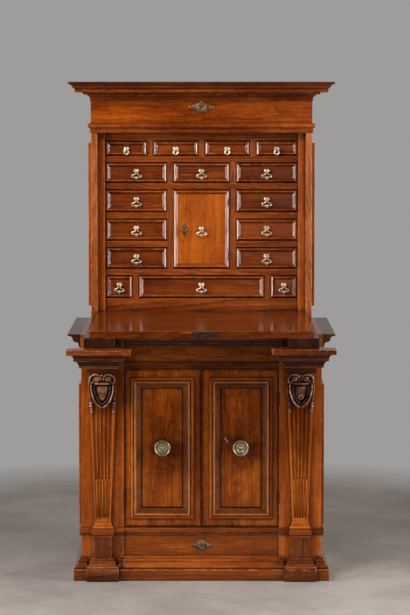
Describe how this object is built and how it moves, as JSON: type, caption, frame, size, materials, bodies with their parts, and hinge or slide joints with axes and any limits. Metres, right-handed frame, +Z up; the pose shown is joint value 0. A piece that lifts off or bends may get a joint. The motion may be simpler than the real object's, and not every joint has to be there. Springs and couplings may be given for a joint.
{
  "type": "fall-front writing cabinet",
  "caption": "Fall-front writing cabinet on a cupboard base, with a nest of small drawers, a lidded top well and draw-out supports for its flap.",
  "frame": {"origin": "centre of the footprint on the floor, with the flap open and the lopers drawn out", "axes": "+Z up, +X to the viewer's right, +Y to the cabinet's back"},
  "size_m": [0.916, 0.988, 1.7],
  "materials": {
    "walnut": "waxed walnut, satin gloss",
    "case_walnut": "waxed walnut",
    "light_walnut": "waxed lighter walnut",
    "writing_board_walnut": "waxed walnut, worn at its edges",
    "brass": "cast, pale gilt brass",
    "dark_iron": "dull wrought iron",
    "pale_iron": "rubbed bright iron"
  },
  "bodies": {
    "cabinet": {"upper_case": "case_walnut", "drawer_nest": "case_walnut", "frieze": "walnut", "frieze_escutcheon": "dark_iron", "fixed_hinges": "dark_iron", "side_frames": "walnut", "base_carcase": "case_walnut", "base_mouldings": "walnut", "plinth": "walnut", "pedestals": "walnut", "pilasters": "walnut", "shield_consoles": "walnut"},
    "crown_lid": {"crown_lid": "walnut"},
    "fall_front": {"fall_front": "writing_board_walnut", "fall_front_strips": "walnut", "fall_front_irons": "dark_iron"},
    "small_door": {"small_door": "light_walnut", "small_door_escutcheon": "dark_iron"},
    "small_door_bail": {"small_door_bail": "brass"},
    "left_door": {"left_door": "walnut", "left_door_knob": "brass"},
    "right_door": {"right_door": "walnut", "right_door_knob": "brass"},
    "door_key": {"door_key": "pale_iron"},
    "left_loper": {"left_loper": "walnut"},
    "right_loper": {"right_loper": "walnut"},
    "plinth_drawer": {"plinth_drawer": "walnut", "plinth_drawer_escutcheon": "dark_iron"},
    "top_drawer_1": {"top_drawer_1": "walnut"},
    "top_drawer_1_bail": {"top_drawer_1_bail": "brass"},
    "top_drawer_2": {"top_drawer_2": "walnut"},
    "top_drawer_2_bail": {"top_drawer_2_bail": "brass"},
    "top_drawer_3": {"top_drawer_3": "walnut"},
    "top_drawer_3_bail": {"top_drawer_3_bail": "brass"},
    "top_drawer_4": {"top_drawer_4": "walnut"},
    "top_drawer_4_bail": {"top_drawer_4_bail": "brass"},
    "second_drawer_left": {"second_drawer_left": "walnut"},
    "second_drawer_left_bail": {"second_drawer_left_bail": "brass"},
    "second_drawer_centre": {"second_drawer_centre": "walnut"},
    "second_drawer_centre_bail": {"second_drawer_centre_bail": "brass"},
    "second_drawer_right": {"second_drawer_right": "walnut"},
    "second_drawer_right_bail": {"second_drawer_right_bail": "brass"},
    "bottom_drawer_left": {"bottom_drawer_left": "walnut"},
    "bottom_drawer_left_bail": {"bottom_drawer_left_bail": "brass"},
    "bottom_drawer_centre": {"bottom_drawer_centre": "walnut"},
    "bottom_drawer_centre_bail": {"bottom_drawer_centre_bail": "brass"},
    "bottom_drawer_right": {"bottom_drawer_right": "walnut"},
    "bottom_drawer_right_bail": {"bottom_drawer_right_bail": "brass"},
    "third_drawer_left": {"third_drawer_left": "walnut"},
    "third_drawer_left_bail": {"third_drawer_left_bail": "brass"},
    "third_drawer_right": {"third_drawer_right": "walnut"},
    "third_drawer_right_bail": {"third_drawer_right_bail": "brass"},
    "fourth_drawer_left": {"fourth_drawer_left": "walnut"},
    "fourth_drawer_left_bail": {"fourth_drawer_left_bail": "brass"},
    "fourth_drawer_right": {"fourth_drawer_right": "walnut"},
    "fourth_drawer_right_bail": {"fourth_drawer_right_bail": "brass"},
    "fifth_drawer_left": {"fifth_drawer_left": "walnut"},
    "fifth_drawer_left_bail": {"fifth_drawer_left_bail": "brass"},
    "fifth_drawer_right": {"fifth_drawer_right": "walnut"},
    "fifth_drawer_right_bail": {"fifth_drawer_right_bail": "brass"}
  },
  "joints": [
    {"name": "crown_lid_hinge", "type": "hinge", "parent": "cabinet", "child": "crown_lid", "pos_m": [0, 0.489, 1.656], "axis": [-1, 0, 0], "range_deg": [0, 95]},
    {"name": "fall_front_hinge", "type": "hinge", "parent": "cabinet", "child": "fall_front", "pos_m": [0, 0.1875, 0.9003], "axis": [1, 0, 0], "range_deg": [-90, 0]},
    {"name": "small_door_hinge", "type": "hinge", "parent": "cabinet", "child": "small_door", "pos_m": [0.1003, 0.206, 1.1447], "axis": [0, 0, 1], "range_deg": [0, 85]},
    {"name": "left_door_hinge", "type": "hinge", "parent": "cabinet", "child": "left_door", "pos_m": [-0.2644, -0.002, 0.453], "axis": [0, 0, -1], "range_deg": [0, 90]},
    {"name": "right_door_hinge", "type": "hinge", "parent": "cabinet", "child": "right_door", "pos_m": [0.2644, -0.002, 0.453], "axis": [0, 0, 1], "range_deg": [0, 90]},
    {"name": "door_key_turn", "type": "hinge", "parent": "right_door", "child": "door_key", "pos_m": [0.0855, 0.007, 0.479], "axis": [0, 1, 0], "range_deg": [-52, 38]},
    {"name": "left_loper_slide", "type": "slide", "parent": "cabinet", "child": "left_loper", "axis": [0, -1, 0], "range_m": [-0.3847, 0]},
    {"name": "right_loper_slide", "type": "slide", "parent": "cabinet", "child": "right_loper", "axis": [0, -1, 0], "range_m": [-0.3667, 0]},
    {"name": "plinth_drawer_slide", "type": "slide", "parent": "cabinet", "child": "plinth_drawer", "axis": [0, -1, 0], "range_m": [0, 0.23]},
    {"name": "small_door_bail_swing", "type": "hinge", "parent": "small_door", "child": "small_door_bail", "pos_m": [0, 0.2028, 1.18795], "axis": [-1, 0, 0], "range_deg": [0, 25]},
    {"name": "top_drawer_1_slide", "type": "slide", "parent": "cabinet", "child": "top_drawer_1", "axis": [0, -1, 0], "range_m": [0, 0.19]},
    {"name": "top_drawer_1_bail_swing", "type": "hinge", "parent": "top_drawer_1", "child": "top_drawer_1_bail", "pos_m": [-0.2625, 0.2028, 1.46695], "axis": [-1, 0, 0], "range_deg": [0, 75]},
    {"name": "top_drawer_2_slide", "type": "slide", "parent": "cabinet", "child": "top_drawer_2", "axis": [0, -1, 0], "range_m": [0, 0.19]},
    {"name": "top_drawer_2_bail_swing", "type": "hinge", "parent": "top_drawer_2", "child": "top_drawer_2_bail", "pos_m": [-0.08975, 0.2028, 1.46695], "axis": [-1, 0, 0], "range_deg": [0, 75]},
    {"name": "top_drawer_3_slide", "type": "slide", "parent": "cabinet", "child": "top_drawer_3", "axis": [0, -1, 0], "range_m": [0, 0.19]},
    {"name": "top_drawer_3_bail_swing", "type": "hinge", "parent": "top_drawer_3", "child": "top_drawer_3_bail", "pos_m": [0.08975, 0.2028, 1.46695], "axis": [-1, 0, 0], "range_deg": [0, 75]},
    {"name": "top_drawer_4_slide", "type": "slide", "parent": "cabinet", "child": "top_drawer_4", "axis": [0, -1, 0], "range_m": [0, 0.19]},
    {"name": "top_drawer_4_bail_swing", "type": "hinge", "parent": "top_drawer_4", "child": "top_drawer_4_bail", "pos_m": [0.2625, 0.2028, 1.46695], "axis": [-1, 0, 0], "range_deg": [0, 75]},
    {"name": "second_drawer_left_slide", "type": "slide", "parent": "cabinet", "child": "second_drawer_left", "axis": [0, -1, 0], "range_m": [0, 0.19]},
    {"name": "second_drawer_left_bail_swing", "type": "hinge", "parent": "second_drawer_left", "child": "second_drawer_left_bail", "pos_m": [-0.2275, 0.2028, 1.38945], "axis": [-1, 0, 0], "range_deg": [0, 75]},
    {"name": "second_drawer_centre_slide", "type": "slide", "parent": "cabinet", "child": "second_drawer_centre", "axis": [0, -1, 0], "range_m": [0, 0.19]},
    {"name": "second_drawer_centre_bail_swing", "type": "hinge", "parent": "second_drawer_centre", "child": "second_drawer_centre_bail", "pos_m": [0, 0.2028, 1.38945], "axis": [-1, 0, 0], "range_deg": [0, 75]},
    {"name": "second_drawer_right_slide", "type": "slide", "parent": "cabinet", "child": "second_drawer_right", "axis": [0, -1, 0], "range_m": [0, 0.19]},
    {"name": "second_drawer_right_bail_swing", "type": "hinge", "parent": "second_drawer_right", "child": "second_drawer_right_bail", "pos_m": [0.2275, 0.2028, 1.38945], "axis": [-1, 0, 0], "range_deg": [0, 75]},
    {"name": "bottom_drawer_left_slide", "type": "slide", "parent": "cabinet", "child": "bottom_drawer_left", "axis": [0, -1, 0], "range_m": [0, 0.19]},
    {"name": "bottom_drawer_left_bail_swing", "type": "hinge", "parent": "bottom_drawer_left", "child": "bottom_drawer_left_bail", "pos_m": [-0.288, 0.2028, 0.9902], "axis": [-1, 0, 0], "range_deg": [0, 75]},
    {"name": "bottom_drawer_centre_slide", "type": "slide", "parent": "cabinet", "child": "bottom_drawer_centre", "axis": [0, -1, 0], "range_m": [0, 0.19]},
    {"name": "bottom_drawer_centre_bail_swing", "type": "hinge", "parent": "bottom_drawer_centre", "child": "bottom_drawer_centre_bail", "pos_m": [0, 0.2028, 0.9902], "axis": [-1, 0, 0], "range_deg": [0, 75]},
    {"name": "bottom_drawer_right_slide", "type": "slide", "parent": "cabinet", "child": "bottom_drawer_right", "axis": [0, -1, 0], "range_m": [0, 0.19]},
    {"name": "bottom_drawer_right_bail_swing", "type": "hinge", "parent": "bottom_drawer_right", "child": "bottom_drawer_right_bail", "pos_m": [0.288, 0.2028, 0.9902], "axis": [-1, 0, 0], "range_deg": [0, 75]},
    {"name": "third_drawer_left_slide", "type": "slide", "parent": "cabinet", "child": "third_drawer_left", "axis": [0, -1, 0], "range_m": [0, 0.19]},
    {"name": "third_drawer_left_bail_swing", "type": "hinge", "parent": "third_drawer_left", "child": "third_drawer_left_bail", "pos_m": [-0.22765, 0.2028, 1.29095], "axis": [-1, 0, 0], "range_deg": [0, 75]},
    {"name": "third_drawer_right_slide", "type": "slide", "parent": "cabinet", "child": "third_drawer_right", "axis": [0, -1, 0], "range_m": [0, 0.19]},
    {"name": "third_drawer_right_bail_swing", "type": "hinge", "parent": "third_drawer_right", "child": "third_drawer_right_bail", "pos_m": [0.22765, 0.2028, 1.29095], "axis": [-1, 0, 0], "range_deg": [0, 75]},
    {"name": "fourth_drawer_left_slide", "type": "slide", "parent": "cabinet", "child": "fourth_drawer_left", "axis": [0, -1, 0], "range_m": [0, 0.19]},
    {"name": "fourth_drawer_left_bail_swing", "type": "hinge", "parent": "fourth_drawer_left", "child": "fourth_drawer_left_bail", "pos_m": [-0.22765, 0.2028, 1.18995], "axis": [-1, 0, 0], "range_deg": [0, 75]},
    {"name": "fourth_drawer_right_slide", "type": "slide", "parent": "cabinet", "child": "fourth_drawer_right", "axis": [0, -1, 0], "range_m": [0, 0.19]},
    {"name": "fourth_drawer_right_bail_swing", "type": "hinge", "parent": "fourth_drawer_right", "child": "fourth_drawer_right_bail", "pos_m": [0.22765, 0.2028, 1.18995], "axis": [-1, 0, 0], "range_deg": [0, 75]},
    {"name": "fifth_drawer_left_slide", "type": "slide", "parent": "cabinet", "child": "fifth_drawer_left", "axis": [0, -1, 0], "range_m": [0, 0.19]},
    {"name": "fifth_drawer_left_bail_swing", "type": "hinge", "parent": "fifth_drawer_left", "child": "fifth_drawer_left_bail", "pos_m": [-0.22765, 0.2028, 1.09095], "axis": [-1, 0, 0], "range_deg": [0, 75]},
    {"name": "fifth_drawer_right_slide", "type": "slide", "parent": "cabinet", "child": "fifth_drawer_right", "axis": [0, -1, 0], "range_m": [0, 0.19]},
    {"name": "fifth_drawer_right_bail_swing", "type": "hinge", "parent": "fifth_drawer_right", "child": "fifth_drawer_right_bail", "pos_m": [0.22765, 0.2028, 1.09095], "axis": [-1, 0, 0], "range_deg": [0, 75]}
  ]
}
